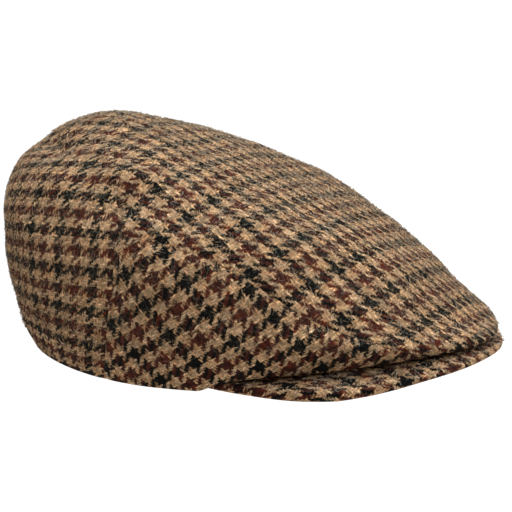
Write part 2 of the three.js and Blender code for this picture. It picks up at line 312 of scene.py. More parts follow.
def finer(corners, times):
    # splits every cell into times x times cells, with straight lines between its corners
    s = np.arange(times) / times
    step = 1 / times
    fine = []
    for di, dj in ((0, 0), (0, step), (step, step), (step, 0)):
        a = (s + di)[:, None, None]
        b = (s + dj)[None, :, None]
        c = [corners[:, :, k, None, None] for k in range(4)]
        fine.append(c[0] * (1 - a) * (1 - b) + c[1] * (1 - a) * b + c[2] * a * b + c[3] * a * (1 - b))
    fine = np.stack(fine, -2)
    rows, columns = corners.shape[:2]
    return fine.transpose(0, 2, 1, 3, 4, 5).reshape(rows * times, columns * times, 4, 2)


def putMesh(name, verts, faces, uv, material, creaseAngle=50):
    # a mesh object at the origin from arrays, its faces turned outwards by the sign of the volume they hold;
    # edges that bend more than the crease angle in degrees stay sharp
    a, b, c, d = [verts[faces[:, k]] for k in (0, 1, 2, -1)]
    volume = (a * np.cross(b, c)).sum() + (a * np.cross(c, d)).sum()
    if volume < 0:
        faces = faces[:, ::-1]
        uv = uv[:, ::-1]
    mesh = bpy.data.meshes.new(name)
    mesh.vertices.add(len(verts))
    mesh.vertices.foreach_set("co", (verts * mm).astype(np.float32).ravel())
    mesh.loops.add(faces.size)
    mesh.loops.foreach_set("vertex_index", faces.astype(np.int32).ravel())
    mesh.polygons.add(len(faces))
    mesh.polygons.foreach_set("loop_start", np.arange(0, faces.size, faces.shape[1], dtype=np.int32))
    mesh.uv_layers.new(name="cloth").data.foreach_set("uv", uv.astype(np.float32).ravel())
    mesh.update(calc_edges=True)
    mesh.polygons.foreach_set("use_smooth", np.ones(len(faces), bool))
    mesh.set_sharp_from_angle(angle=math.radians(creaseAngle))
    mesh.materials.append(material)
    piece = bpy.data.objects.new(name, mesh)
    bpy.context.scene.collection.objects.link(piece)
    return piece


def gridSolid(name, outer, inner, uv, material):
    # closed cloth between an outer and an inner grid, walled all round
    rows, columns = outer.shape[:2]
    index = np.arange(rows * columns).reshape(rows, columns)
    back = index + rows * columns
    faces = [cornersOf(index).reshape(-1, 4), cornersOf(back).reshape(-1, 4)[:, ::-1]]
    maps = [uv.reshape(-1, 4, 2), uv.reshape(-1, 4, 2)[:, ::-1]]
    walls = (
        (index[0], back[0], uv[0][:, [0, 1]]),
        (index[-1][::-1], back[-1][::-1], uv[-1][:, [3, 2]][::-1, ::-1]),
        (index[::-1, 0], back[::-1, 0], uv[:, 0][:, [0, 3]][::-1, ::-1]),
        (index[:, -1], back[:, -1], uv[:, -1][:, [1, 2]]),
    )
    for near, far, edge in walls:
        faces.append(np.stack([near[1:], near[:-1], far[:-1], far[1:]], 1))
        drop = np.array([0, crown["cloth"]])
        maps.append(np.stack([edge[:, 1], edge[:, 0], edge[:, 0] + drop, edge[:, 1] + drop], 1))
    verts = np.concatenate([outer.reshape(-1, 3), inner.reshape(-1, 3)])
    return putMesh(name, verts, np.concatenate(faces), np.concatenate(maps), material)


def linear(code):
    # sRGB hex to linear colour
    c = np.array([int(code[k:k + 2], 16) for k in (1, 3, 5)]) / 255
    return (*np.where(c <= 0.04045, c / 12.92, ((c + 0.055) / 1.055) ** 2.4), 1.0)


def addNode(tree, kind, inputs=None, **settings):
    # adds one node with its settings, and sets or links each input that is named or numbered
    node = tree.nodes.new(kind)
    for key, value in settings.items():
        setattr(node, key, value)
    for key, value in (inputs or {}).items():
        if isinstance(value, bpy.types.NodeSocket):
            tree.links.new(value, node.inputs[key])
        else:
            node.inputs[key].default_value = value
    return node


# woven wool tweed: a 2/2 twill of four threads each of tan, black-green, tan and rust, both ways, which
# gives the small checks with toothed edges; the yarn is soft and hairy, so it is matt, and its hairs get a
# painted sheen
tweed = {
    "pitch": (1.33, 1.08),   # spacing of the threads across the cap, and of those from front to back
    "twill": -1,             # way that the diagonal runs
    "groupOf": 4,            # threads of one colour in turn
    "across": ("tan", "dark", "tan", "rust"),
    "along": ("cream", "dark", "cream", "rust"),
    # each yarn's dye drifts between two tones
    "tan": ("#b89672", "#c08f63"),
    "cream": ("#c3a482", "#c99f70"),
    "dark": ("#080d0c", "#0b0907"),
    "rust": ("#2c1d1a", "#5c2517"),
    "dyeDrift": 0.2,         # per mm
    "dyeDetail": 4.0,
    "dyeGrit": 0.65,
    "dyeRange": (0.35, 0.65),
    # dark yarn is thicker, so it lies higher
    "thick": {"tan": 0.0, "cream": 0.0, "dark": 0.47, "rust": 0.36},
    "crimp": 0.5,            # how far a thread rises and dives
    "round": 1.0,            # how far it falls away to its edges
    "alongRise": 0.12,       # the threads from front to back lie higher
    "soft": 0.2,             # how gradually one thread gives way to the next
    "paintedGapShade": 0.35,          # painted shade: how dark the gaps between the threads are painted
    "paintedGapShadeHeights": (0.4, 1.4),
    "fray": ((4.0, 0.9), (1.6, 1.0), (0.5, 0.6)),   # noise per mm and its reach in mm
    "frayDetail": 2.0,
    "strands": (0.3, 1.0),   # noise per mm along and across a thread
    "strandDetail": 3.0,
    "strandRange": (0.3, 0.7),
    "heather": 0.8,          # how much lighter and darker the strands are
    "uneven": 0.28,          # how much one thread differs from the next
    "relief": 0.35,          # mm
    "paintedSheenColour": "#d6cab3",      # painted sheen: the loose hairs are painted paler
    "roughness": 0.95,
    "specular": 0.05,
    "sheen": 0.03,
    "sheenRoughness": 0.2,
    "sheenTint": "#e9dfd0",
}


def tweedMaterial():
    material = bpy.data.materials.new("woven wool tweed")
    material.use_nodes = True
    tree = material.node_tree
    shader = tree.nodes["Principled BSDF"]
    mathNode = "ShaderNodeMath"
    vectorNode = "ShaderNodeVectorMath"
    # place on the cloth in mm, blurred by noise so that the threads fray
    cloth = addNode(tree, "ShaderNodeUVMap", uv_map="cloth").outputs["UV"]
    place = cloth
    for scale, reach in tweed["fray"]:
        noise = addNode(tree, "ShaderNodeTexNoise",
                        {"Vector": cloth, "Scale": scale, "Detail": tweed["frayDetail"]})
        drift = addNode(tree, vectorNode, {0: noise.outputs["Color"], 1: (0.5, 0.5, 0.5)}, operation="SUBTRACT")
        place = addNode(tree, vectorNode, {0: drift.outputs[0], 1: (2 * reach,) * 3, 2: place},
                        operation="MULTIPLY_ADD").outputs[0]
    threads = addNode(tree, vectorNode, {0: place, 1: (*tweed["pitch"], 1)}, operation="DIVIDE").outputs[0]
    at = addNode(tree, "ShaderNodeSeparateXYZ", {0: threads}).outputs
    index = [addNode(tree, mathNode, {0: at[k]}, operation="FLOOR").outputs[0] for k in (0, 1)]
    # colour order of the threads across (0) and along (1), four of each in turn
    drift = addNode(tree, "ShaderNodeTexNoise",
                    {"Vector": cloth, "Scale": tweed["dyeDrift"], "Detail": tweed["dyeDetail"],
                     "Roughness": tweed["dyeGrit"]})
    low, high = tweed["dyeRange"]
    warmth = addNode(tree, "ShaderNodeMapRange", {0: drift.outputs[0], 1: low, 2: high}).outputs[0]
    shade, thick = [], []
    for axis, order in ((0, tweed["across"]), (1, tweed["along"])):
        repeat = float(tweed["groupOf"] * len(order))
        turn = addNode(tree, mathNode, {0: index[axis], 1: repeat}, operation="FLOORED_MODULO").outputs[0]
        # read a quarter of a thread in, clear of the steps between the colours
        group = addNode(tree, mathNode, {0: turn, 1: 1 / repeat, 2: 1 / (4 * repeat)},
                        operation="MULTIPLY_ADD").outputs[0]
        dyes = []
        for dye in (0, 1):
            ramp = addNode(tree, "ShaderNodeValToRGB", {0: group})
            ramp.color_ramp.interpolation = "CONSTANT"
            while len(ramp.color_ramp.elements) < len(order):
                ramp.color_ramp.elements.new(0.5)
            for k, (element, tone) in enumerate(zip(ramp.color_ramp.elements, order)):
                element.position = k / len(order)
                element.color = (*linear(tweed[tone][dye])[:3], tweed["thick"][tone])
            dyes.append(ramp.outputs["Color"])
        thick.append(ramp.outputs["Alpha"])
        mixed = addNode(tree, "ShaderNodeMix", {0: warmth, 6: dyes[0], 7: dyes[1]}, data_type="RGBA")
        shade.append(mixed.outputs[2])
    # height of each thread: round across it, and rising and diving along it as the sine of twice two threads,
    # a step later on every next thread; the higher thread is the one that shows
    heights = []
    runs = ((0, (index[0], at[1]), -1, (1 - tweed["twill"]) / 2), (1, (at[0], index[1]), 1, 0))
    for axis, run, sign, shift in runs:
        within = addNode(tree, mathNode, {0: at[axis]}, operation="FRACT").outputs[0]
        arc = addNode(tree, mathNode, {0: within, 1: math.pi}, operation="MULTIPLY").outputs[0]
        roundness = addNode(tree, mathNode, {0: arc}, operation="SINE").outputs[0]
        step = addNode(tree, mathNode, {0: run[1], 1: float(tweed["twill"]), 2: run[0]},
                       operation="MULTIPLY_ADD")
        wave = addNode(tree, mathNode, {0: step.outputs[0], 1: math.pi / 2, 2: shift * math.pi / 2},
                       operation="MULTIPLY_ADD").outputs[0]
        wave = addNode(tree, mathNode, {0: wave}, operation="SINE").outputs[0]
        rise = addNode(tree, mathNode, {0: wave, 1: sign * tweed["crimp"], 2: axis * tweed["alongRise"]},
                       operation="MULTIPLY_ADD").outputs[0]
        rise = addNode(tree, mathNode, {0: rise, 1: thick[axis]}, operation="ADD").outputs[0]
        heights.append(addNode(tree, mathNode, {0: roundness, 1: tweed["round"], 2: rise},
                               operation="MULTIPLY_ADD").outputs[0])
    lead = addNode(tree, mathNode, {0: heights[1], 1: heights[0]}, operation="SUBTRACT").outputs[0]
    shows = addNode(tree, "ShaderNodeMapRange", {0: lead, 1: -tweed["soft"], 2: tweed["soft"]},
                    interpolation_type="SMOOTHSTEP").outputs[0]
    height = addNode(tree, mathNode, {0: heights[0], 1: heights[1]}, operation="MAXIMUM").outputs[0]
    yarn = addNode(tree, "ShaderNodeMix", {0: shows, 6: shade[0], 7: shade[1]}, data_type="RGBA").outputs[2]
    # heather: strands of lighter and darker wool along each thread
    strand = []
    long, fine = tweed["strands"]
    for scale in ((fine, long, 1), (long, fine, 1)):
        grain = addNode(tree, vectorNode, {0: cloth, 1: scale}, operation="MULTIPLY").outputs[0]
        noise = addNode(tree, "ShaderNodeTexNoise",
                        {"Vector": grain, "Scale": 1.0, "Detail": tweed["strandDetail"]})
        strand.append(noise.outputs[0])
    fibre = addNode(tree, "ShaderNodeMix", {0: shows, 2: strand[0], 3: strand[1]}, data_type="FLOAT").outputs[0]
    low, high = tweed["strandRange"]
    darkest, lightest = 1 - tweed["heather"], 1 + tweed["heather"]
    tone = addNode(tree, "ShaderNodeMapRange", {0: fibre, 1: low, 2: high, 3: darkest, 4: lightest}).outputs[0]
    # painted shade: the lower the thread that shows, the darker it is painted, as shade in the gaps between
    # threads
    low, high = tweed["paintedGapShadeHeights"]
    gap = addNode(tree, "ShaderNodeMapRange",
                  {0: height, 1: low, 2: high, 3: tweed["paintedGapShade"], 4: 1.0}).outputs[0]
    light = addNode(tree, mathNode, {0: tone, 1: gap}, operation="MULTIPLY").outputs[0]
    # every thread is spun a little lighter or darker than the next
    spin = [addNode(tree, "ShaderNodeTexWhiteNoise", {"W": i}, noise_dimensions="1D").outputs[0] for i in index]
    spin = addNode(tree, "ShaderNodeMix", {0: shows, 2: spin[0], 3: spin[1]}, data_type="FLOAT").outputs[0]
    low, high = 1 - tweed["uneven"], 1 + tweed["uneven"]
    spin = addNode(tree, "ShaderNodeMapRange", {0: spin, 3: low, 4: high}).outputs[0]
    light = addNode(tree, mathNode, {0: light, 1: spin}, operation="MULTIPLY").outputs[0]
    colour = addNode(tree, vectorNode, {0: yarn, "Scale": light}, operation="SCALE").outputs[0]
    # painted sheen: each hair's colour is mixed towards a pale tone by its share, as light caught on the fibres
    paintedSheen = addNode(tree, "ShaderNodeAttribute", attribute_name="paintedSheen").outputs["Fac"]
    colour = addNode(tree, "ShaderNodeMix", {0: paintedSheen, 6: colour, 7: linear(tweed["paintedSheenColour"])},
                     data_type="RGBA").outputs[2]
    bump = addNode(tree, "ShaderNodeBump",
                   {"Strength": 1.0, "Distance": tweed["relief"] * mm, "Height": height})
    tree.links.new(colour, shader.inputs["Base Color"])
    tree.links.new(bump.outputs[0], shader.inputs["Normal"])
    shader.inputs["Roughness"].default_value = tweed["roughness"]
    shader.inputs["Specular IOR Level"].default_value = tweed["specular"]
    shader.inputs["Sheen Weight"].default_value = tweed["sheen"]
    shader.inputs["Sheen Roughness"].default_value = tweed["sheenRoughness"]
    shader.inputs["Sheen Tint"].default_value = linear(tweed["sheenTint"])
    return material


clothMaterial = tweedMaterial()
print("tweed woven")

# top panel: a long tongue from the peak over the crown and down the back, with a dart at each corner
topPanel = {
    "frontRows": 34,
    "backRows": 26,
    "columns": 40,
    "finer": 4,
    "cornerShare": 0.54,                           # where the corner's row crosses the centre line
    "noseRows": [(0, 0), (0.25, 0.13), (1, 1)],    # rows crowd towards the nose
    "dartFrom": 0.8,                               # share of the row where the dart starts
    "dartEase": (0.06, 0.04),                      # over which it fades in
    "backSeamRow": 1.42,                           # row where the seam down the back starts
    "backSeamEase": 0.06,
    "flattenRounds": 40,
    # how far the threads have worked round, in degrees: y, threads along, threads across
    "grain": [
        (-105, 7, -8), (-85, 0, -9), (-65, -7, -11), (-45, -10, -12), (-25, -16, -14), (-5, -20, -16),
        (20, -23, -16), (45, -23, -18), (70, -25, -20),
    ],
    "levelRows": (0.95, 1.3),                      # rows over which the threads turn level
    "wallSlope": (-0.75, -0.35),                   # how far down the cloth faces where the top becomes wall
    "backPull": 0.3,
    # how far the threads that climb the back wall lean backwards: z, degrees
    "backLean": [(20, -14), (38, -8), (46, -3), (56, 12), (66, 18), (80, 12), (95, 8)],
    "closer": 0.2,                                 # how much closer the threads lie at the middle
    "closerFrom": (10, 60),
    "looser": 0.14,                                # how much farther apart they lie over the back of the top
    "looserFrom": (0, 25, 55, 85),
    "weave": (10.0, 12.7),
}


def centreLine():
    # the crown's middle in side view: up the nose from the peak, over the top in degrees that are finer round
    # the nose, and down the back
    noseDepth = np.linspace(1, 0, 7)[:-1]
    backDepth = np.linspace(0, 1, 25)[1:]
    angle = np.concatenate([np.arange(0, 12, 0.5), np.arange(12, 180, 1.5), [180]])
    u = -(frontReach - crown["drawNose"] * noseDepth ** crown["drawPower"])
    v = backReach - crown["drawBack"] * backDepth ** crown["drawPower"]
    parts = []
    for along, depth in ((u, noseDepth), (v, backDepth)):
        y = crown["earAxisY"] + along * math.cos(tilt)
        lineZ = axisZ + along * math.sin(tilt)
        parts.append(np.stack([y, lineZ + (rimHeight(y) - lineZ) * depth], -1))
    along = -reachAt(angle) * np.cos(np.radians(angle))
    above = reachAt(angle) * np.sin(np.radians(angle))
    y = crown["earAxisY"] + along * math.cos(tilt) - above * math.sin(tilt)
    z = axisZ + along * math.sin(tilt) + above * math.cos(tilt)
    return alongLine(np.concatenate([parts[0], np.stack([y, z], -1), parts[1]]))


def topSurface(rows, across):
    # rows 0 to 1 run from the peak to the corner, 1 to 2 down the back; each is a straight line in side view
    # from the centre line to the seam, walked by the square of the share across
    front = np.clip(rows, 0, 1)
    behind = np.clip(rows - 1, 0, 1)
    share = topPanel["cornerShare"]
    nose = curveThrough(*np.array(topPanel["noseRows"], float).T)
    middle = centreLine()(share * nose(front) + (1 - share) * behind)
    edge = np.where((rows <= 1)[:, None], alongLine(seams["top"])(front), alongLine(seams["rear"])(behind))
    t = (across ** 2)[None, :, None]
    spot = middle[:, None] + (edge - middle)[:, None] * t
    return skinAt(np.sign(across)[None, :], spot[..., 0], spot[..., 1])


def evenSteps(ends, counts):
    # even steps from each end to the next, with a count for every stretch
    parts = [np.linspace(a, b, n, endpoint=False) for a, b, n in zip(ends[:-1], ends[1:], counts)]
    return np.concatenate(parts + [[ends[-1]]])


def topWeave():
    # flattens the panel on its coarse grid, cut open at the darts and down the back
    rows = evenSteps((0, 1, 2), (topPanel["frontRows"], topPanel["backRows"]))
    across = np.linspace(-1, 1, topPanel["columns"] + 1)
    p, _ = topSurface(rows, across)
    index = np.arange(p.shape[0] * p.shape[1]).reshape(p.shape[:2])
    corner = cornersOf(index)
    dartRow = topPanel["frontRows"]
    opened = np.abs(across) > topPanel["dartFrom"] + 1e-6
    split = np.where(opened, index.max() + 1 + np.arange(len(across)), index[dartRow])
    corner[dartRow, :, 0] = split[:-1]
    corner[dartRow, :, 1] = split[1:]
    middle = topPanel["columns"] // 2
    torn = rows > topPanel["backSeamRow"]
    twin = np.where(torn, split.max() + 1 + np.arange(len(rows)), index[:, middle])
    corner[:, middle, 0] = twin[:-1]
    corner[:, middle, 3] = twin[1:]
    _, packed = np.unique(corner, return_inverse=True)
    corner = packed.reshape(corner.shape)
    # start: length forward along the middle, and length across from it
    along = 0 * index - lengthAlong(p, 0)[:, middle:middle + 1]
    side = lengthAlong(p, 1)
    side = side - side[:, middle:middle + 1]
    start = np.zeros((corner.max() + 1, 2))
    start[corner.ravel()] = cornersOf(np.stack([along, side], -1)).reshape(-1, 2)
    rowOf = np.repeat((rows[1:] + rows[:-1]) / 2, len(across) - 1)
    where, turnAlong, turnAcross = np.array(topPanel["grain"], float).T

    def grain(centre, normal, along, across):
        # in front the threads keep the flattened cloth's own way, worked round by the table; behind the dart
        # they follow the level lines of the wall
        a = np.radians(curveThrough(where, turnAlong)(centre[:, 1]))[:, None]
        b = np.radians(curveThrough(where, turnAcross)(centre[:, 1]))[:, None]
        ahead = np.cos(a) * along + np.sin(a) * across
        aside = np.cos(b) * across - np.sin(b) * along
        near = np.where(normal[:, 0] < 0, 1, -1)
        level = np.stack([-near * normal[:, 1], near * normal[:, 0] - topPanel["backPull"], 0 * near], 1)
        level = level - normal * (level * normal).sum(1, keepdims=True)
        level = level / np.linalg.norm(level, axis=1, keepdims=True)
        row = np.tile(rowOf, 2)
        wall = smoothStep(-normal[:, 2], *topPanel["wallSlope"]) * (row > 1)
        share = np.maximum(smoothStep(row, *topPanel["levelRows"]), wall)[:, None]
        lean = near * np.radians(curveThrough(*np.array(topPanel["backLean"], float).T)(centre[:, 2]))
        climb = np.cos(lean)[:, None] * np.cross(normal, level) - np.sin(lean)[:, None] * level
        ahead = ahead * (1 - share) + level * share
        aside = aside * (1 - share) + climb * share
        middle = 1 - smoothStep(np.abs(centre[:, 0]), *topPanel["closerFrom"])
        first, full, last, gone = topPanel["looserFrom"]
        over = smoothStep(centre[:, 1], first, full) * (1 - smoothStep(centre[:, 1], last, gone)) * (1 - wall)
        ahead = ahead * (1 + topPanel["looser"] * over)[:, None]
        return ahead, aside * (1 - topPanel["closer"] * middle)[:, None]

    return layFlat(cornersOf(p), corner, start, topPanel["flattenRounds"], grain)


def makeTopPanel():
    # the skin sinks by depth x exp(-(distance / width)^2) at the seams, the darts and down the back, and rolls
    # in at its two ends; the inside lies one cloth deeper
    times = topPanel["finer"]
    frontRows, backRows = topPanel["frontRows"] * times, topPanel["backRows"] * times
    rows = evenSteps((0, 1, 2), (frontRows, backRows))
    across = np.linspace(-1, 1, topPanel["columns"] * times + 1)
    p, out = topSurface(rows, across)
    fromSide = lengthAlong(p, 1)
    toSide = np.minimum(fromSide, fromSide[:, -1:] - fromSide)
    toMiddle = np.abs(fromSide - fromSide[:, topPanel["columns"] * times // 2][:, None])
    walked = lengthAlong(p, 0)
    toDart = np.abs(walked - walked[frontRows])
    before, after = topPanel["dartEase"]
    dart = smoothStep(np.abs(across), topPanel["dartFrom"] - before, topPanel["dartFrom"] + after)[None, :]
    ease = topPanel["backSeamEase"]
    back = smoothStep(rows, topPanel["backSeamRow"] - ease, topPanel["backSeamRow"] + ease)[:, None]
    dip = seams["depth"] * np.exp(-((toSide / seams["width"]) ** 2))
    dip = dip + seams["dartDepth"] * dart * np.exp(-((toDart / seams["dartWidth"]) ** 2))
    dip = dip + seams["backDepth"] * back * np.exp(-((toMiddle / seams["backWidth"]) ** 2))
    dip = dip + rolled(walked, seams["noseRoll"]) + rolled(walked[-1:] - walked, seams["hemRoll"])
    outer = p - out * np.minimum(dip, crown["cloth"] - seams["leastCloth"])[..., None]
    inner = p - out * crown["cloth"]
    for edge in (0, -1):
        inner[edge, :, 2] = rimHeight(inner[edge, :, 1])
    uv = finer(topWeave(), times) + np.array(topPanel["weave"])
    return outer, uv, gridSolid("top_panel_cloth", outer, inner, uv, clothMaterial)


topOuter, topMap, topCloth = makeTopPanel()
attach(topCloth, "root")
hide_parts("top_panel")
print("top panel cut and sewn")

# side panels: rounded triangles over the ears, cut on the slant
sidePanel = {
    "steps": 36,
    "rows": 16,
    "finer": 4,
    "tipShare": 0.985,   # share of the top seam that it reaches at the tip
    "tipSetBack": 1.2,
    "tipLeast": 0.4,     # least height of a column, as a share
    "slant": 32,         # degrees that its threads climb towards the front
    "skew": 8,           # degrees that the threads across them lean
    "flattenRounds": 30,
    "weave": (14.9, 0.2),
}


def sideSurface(side, steps, rows):
    # columns from the seam behind the ear to the tip on the peak, each straight in side view from the rim up
    # to the top seam, less the seam's gap
    u = steps[:, None]
    topEdge = alongLine(seams["top"][::-1])(np.minimum(u, sidePanel["tipShare"]))
    behind = seams["rear"][-1][0]
    lowY = behind + (seams["top"][0][0] + sidePanel["tipSetBack"] - behind) * u
    low = np.stack([lowY, rimHeight(lowY)], -1)
    length = np.linalg.norm(topEdge - low, axis=-1)
    v = rows[None, :] * np.maximum(1 - seams["sideGap"] / length, sidePanel["tipLeast"])
    spot = low + (topEdge - low) * v[..., None]
    rear = alongLine(seams["rear"][::-1])(v[:1]) - np.array([seams["gap"], 0])
    blend = np.clip(1 - u * sidePanel["steps"], 0, 1)[..., None]
    spot = spot + (rear - spot[:1]) * blend
    return skinAt(side, spot[..., 0], spot[..., 1])


def sideWeave(side):
    # flattens the panel on its coarse grid; the left one is the right one's mirror image
    steps = np.linspace(0, 1, sidePanel["steps"] + 1)
    rows = np.linspace(0, 1, sidePanel["rows"] + 1)
    p, _ = sideSurface(side, steps, rows)
    corner = cornersOf(np.arange(p.shape[0] * p.shape[1]).reshape(p.shape[:2]))
    start = np.stack([-p[..., 1], -p[..., 2]], -1).reshape(-1, 2)
    slant = math.radians(sidePanel["slant"])
    skew = math.radians(sidePanel["slant"] + sidePanel["skew"])

    def grain(centre, normal, along, across):
        # the threads climb forwards by the slant, and those across them lean by the skew
        ahead = math.cos(slant) * along - math.sin(slant) * across
        aside = math.cos(skew) * across + math.sin(skew) * along
        return ahead, -aside

    uv = layFlat(cornersOf(p), corner, start, sidePanel["flattenRounds"], grain)
    return uv * np.array([1, -side])


def makeSidePanel(side, name):
    # as the top panel, with dips along the top seam and the rear seam and a rolled hem
    times = sidePanel["finer"]
    steps = np.linspace(0, 1, sidePanel["steps"] * times + 1)
    rows = np.linspace(0, 1, sidePanel["rows"] * times + 1)
    p, out = sideSurface(side, steps, rows)
    up = lengthAlong(p, 1)
    toRear = lengthAlong(p, 0)
    dip = seams["depth"] * np.exp(-(((up[:, -1:] - up) / seams["width"]) ** 2))
    dip = dip + seams["depth"] * np.exp(-((toRear / seams["width"]) ** 2))
    dip = dip + rolled(up, seams["hemRoll"])
    outer = p - out * np.minimum(dip, crown["cloth"] - seams["leastCloth"])[..., None]
    inner = p - out * crown["cloth"]
    inner[:, 0, 2] = rimHeight(inner[:, 0, 1])
    uv = finer(sideWeave(side), times) + np.array(sidePanel["weave"])
    cloth = gridSolid(name + "_cloth", outer, inner, uv, clothMaterial)
    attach(cloth, "root")
    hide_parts(name)
    return outer, uv


rightOuter, rightMap = makeSidePanel(-1, "side_panel_right")
leftOuter, leftMap = makeSidePanel(1, "side_panel_left")
print("side panels cut and sewn")

# peak: a stiff board in the same cloth, arched across
peak = {
    "centreY": -8.6,
    "frontRise": 8.2,
    "flatHalf": 84,
    "innerThick": 5,
    "creaseRoom": 2,         # least width of the rim in front of the crown
    "restGap": 1.0,          # gap between the peak and the crown that rests on it
    # angle from the front, reach of the outer and inner edge, thickness at the edge
    "plan": [
        (-12, 120.2, 78.8, 3.2), (0, 123, 78.5, 3.0), (12, 120.2, 78.8, 3.2), (30, 112.8, 80, 3.9),
        (45, 109, 81, 5.0), (60, 104, 82, 6.0), (75, 93.8, 81.5, 5.4), (90, 84.3, 76, 2.2),
    ],
    "steps": 240,
    "topPoints": 10,
    "outPoints": 8,
    "edgePoints": 14,
    "hollowPoints": 10,
    "hollowFrom": 0.8,       # share of the way to the crease where the hollow starts
    "tucked": 3,             # points under the crown that still get fuzz
    "rimBetween": (30, 160),  # reach to search for the crown's rim
    "halvings": 40,
    "turn": -14,             # degrees that its threads are turned
    "weave": (9.3, 11.3),
}


def rimReach(angle):
    # where the crown's rim crosses each ray of the peak's plan, by halving
    near, far = [np.full(angle.shape, float(reach)) for reach in peak["rimBetween"]]
    for _ in range(peak["halvings"]):
        mid = (near + far) / 2
        y = peak["centreY"] - mid * np.cos(angle)
        inside = crownLevel(mid * np.sin(angle), y, rimHeight(y)) < 1
        near = np.where(inside, mid, near)
        far = np.where(inside, far, mid)
    return near


def makePeak():
    # a closed section on each ray of the plan: along the top under the crown, out to the round edge, round
    # it, and back along the hollow underside
    degrees = np.linspace(90, -90, peak["steps"] + 1)
    angle = np.radians(degrees)
    planAngle, *columns = np.array(peak["plan"], float).T
    edge, inner, thick = [curveThrough(planAngle, column)(np.abs(degrees))[:, None] for column in columns]
    crease = np.minimum(rimReach(angle)[:, None], edge - thick / 2 - peak["creaseRoom"])
    low = peak["frontRise"] * np.maximum(1 - (edge * np.sin(angle)[:, None] / peak["flatHalf"]) ** 2, 0)

    def topAt(reach):
        y = peak["centreY"] - np.minimum(reach, crease) * np.cos(angle)[:, None]
        under = np.maximum(rimHeight(y) - peak["restGap"], low + thick)
        fall = np.maximum((reach - crease) / (edge - thick / 2 - crease), 0)
        return under + (low + thick - under) * fall

    shares = np.linspace(0, 1, peak["topPoints"])[None, :]
    onTop = inner + (crease - inner) * shares
    out = crease + (edge - thick / 2 - crease) * np.linspace(0, 1, peak["outPoints"] + 1)[None, 1:]
    turn = np.radians(np.linspace(90, -90, peak["edgePoints"] + 1))[None, 1:]
    hollow = inner + (crease - inner) * np.linspace(peak["hollowFrom"], 0, peak["hollowPoints"])[None, :]
    reach = np.concatenate([onTop, out, edge - thick / 2 * (1 - np.cos(turn)), hollow], 1)
    z = np.concatenate([
        topAt(onTop), topAt(out), low + thick / 2 * (1 + np.sin(turn)),
        np.maximum(topAt(hollow) - peak["innerThick"], 0),
    ], 1)
    p = np.stack([reach * np.sin(angle)[:, None], peak["centreY"] - reach * np.cos(angle)[:, None], z], -1)
    # the cloth is laid over the top and wrapped round the edge along each ray
    step = np.hypot(np.diff(reach, axis=1), np.diff(z, axis=1))
    walked = inner + np.pad(np.cumsum(step, axis=1), ((0, 0), (1, 0)))
    ray = (angle - math.radians(peak["turn"]))[:, None]
    flat = np.stack([walked * np.cos(ray), walked * np.sin(ray)], -1)
    last = flat[:, -1:] + (flat[:, -1:] - flat[:, -2:-1])
    uv = cornersOf(np.concatenate([flat, last], 1)) + np.array(peak["weave"])
    index = np.arange(p.shape[0] * p.shape[1]).reshape(p.shape[:2])
    faces = cornersOf(np.concatenate([index, index[:, :1]], 1)).reshape(-1, 4)
    maps = uv.reshape(-1, 4, 2)
    # the two ends close with strips between the top and the underside
    caps = []
    half = p.shape[1] // 2
    for row, flip in ((index[0], True), (index[-1], False)):
        a = np.arange(half - 1)
        strip = np.stack([row[a], row[a + 1], row[-2 - a], row[-1 - a]], 1)
        caps.append(strip[:, ::-1] if flip else strip)
    faces = np.concatenate([faces] + caps)
    capMap = np.concatenate([flat.reshape(-1, 2)[c] for c in caps]) + np.array(peak["weave"])
    cloth = putMesh("peak_cloth", p.reshape(-1, 3), faces, np.concatenate([maps, capMap]), clothMaterial)
    shown = slice(peak["topPoints"] - peak["tucked"], -peak["hollowPoints"])
    return p[:, shown], uv[:, shown][:, :-1], cloth


peakOuter, peakMap, peakCloth = makePeak()
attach(peakCloth, "root")
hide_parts("peak")
print("peak covered")

# loose wool: long hairs that lie on the cloth and a short nap that stands on it
fuzz = {
    "inside": (0, 10, 30),   # a point inside the cap, to tell out from in
    "stray": 0.6,            # how far from its root a hair's thread may lie
    "lowest": {"peak": 0.5, "other": -0.3},  # painted light from above: how sharply the hairs' painted sheen grows as they face the sky
    "paintedSheenFall": 3.5,             # how sharply the wool pales towards the sky
    "middle": (0.35, 0.65),  # where along a hair its two sides lie
    "bend": 0.7,             # least height of its sides, as a share of its tip's
    "hairs": {
        "perSquareMm": 0.4,
        "length": (1.2, 4.0),
        "width": (0.07, 0.19),
        "lift": (0.1, 0.7),
        "tip": (0, 1.3),         # height of the tip, in lifts
        "paintedSheenRange": (0.2, 1.0),      # share of painted sheen on hairs that face sideways and up
    },
    "nap": {
        "perSquareMm": 0.72,
        "length": (0.1, 0.9),
        "width": (0.06, 0.14),
        "lift": (0.3, 0.95),
        "tip": (1.4, 2.2),
        "paintedSheenRange": (0.2, 1.0),
    },
}


